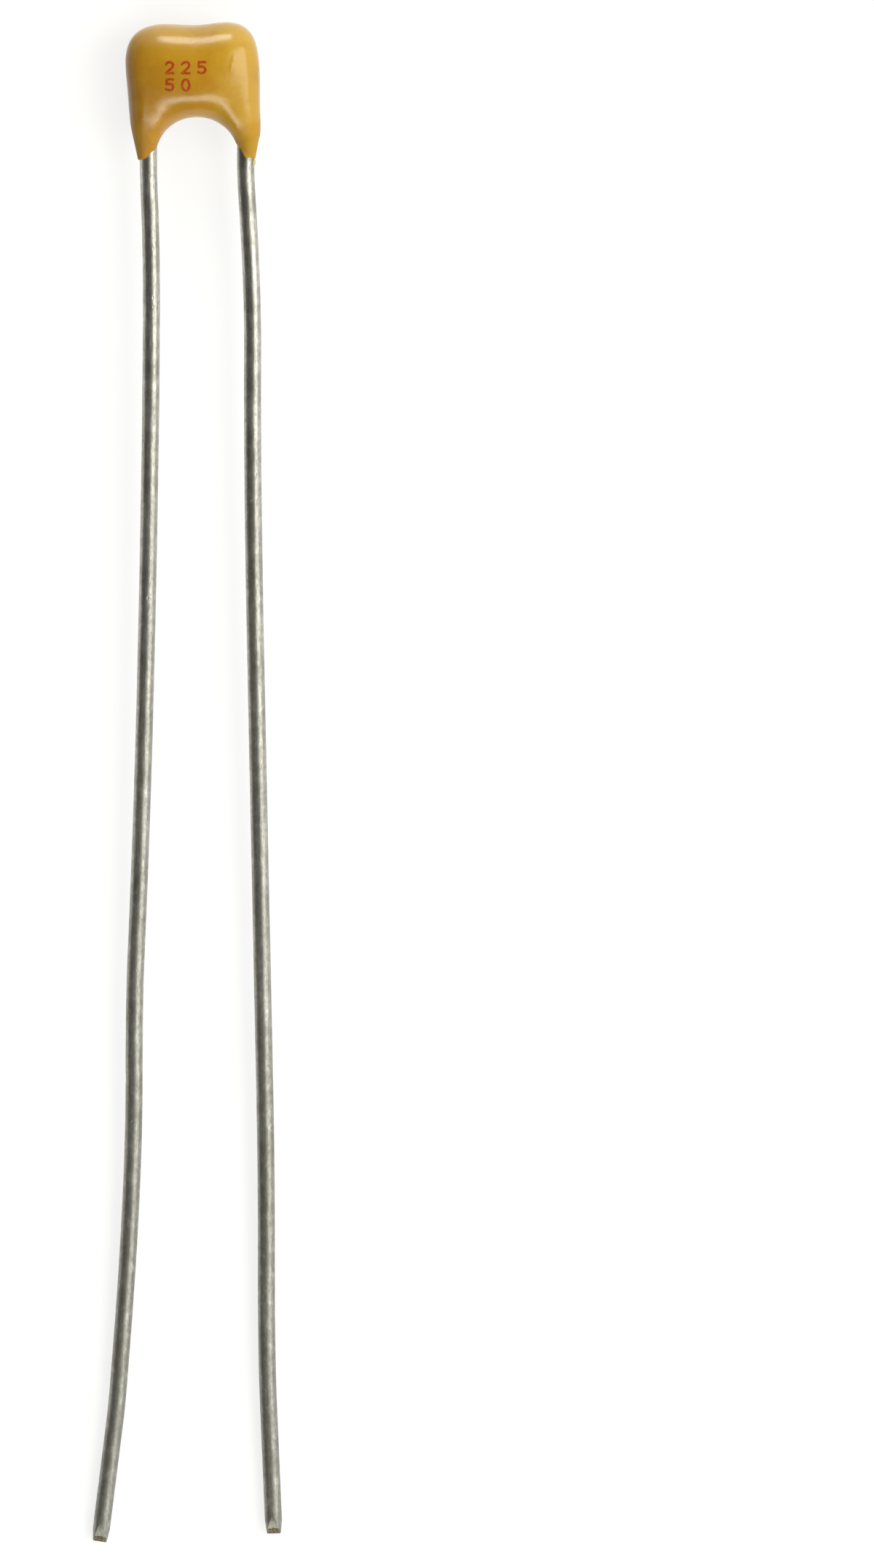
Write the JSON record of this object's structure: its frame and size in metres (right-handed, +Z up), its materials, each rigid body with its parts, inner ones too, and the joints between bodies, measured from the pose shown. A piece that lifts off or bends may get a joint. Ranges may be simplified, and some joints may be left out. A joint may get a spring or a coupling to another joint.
{
  "type": "ceramic capacitor",
  "caption": "Radial multilayer ceramic capacitor: a chip soldered between tinned wire leads inside an arched, dipped ochre epoxy coat.",
  "frame": {"origin": "centre of the bounding box, on the floor that the part lies on", "axes": "+X towards the right lead, +Y from the lead tips to the coat's top, +Z up, out of the marked face"},
  "size_m": [0.005, 0.0402, 0.0021],
  "materials": {
    "epoxy": "gloss dipped epoxy, slightly uneven",
    "dielectric": "matt sintered ceramic",
    "electrode": "fired metal layer",
    "termination": "plated metal",
    "solder": "solder",
    "tinned_wire": "dull tinned wire with fine scratches"
  },
  "bodies": {
    "root": {"epoxy_coat": "epoxy", "ceramic_chip": "dielectric", "left_plates": "electrode", "right_plates": "electrode", "left_cap": "termination", "right_cap": "termination", "left_solder": "solder", "right_solder": "solder", "left_lead": "tinned_wire", "right_lead": "tinned_wire"}
  },
  "joints": []
}
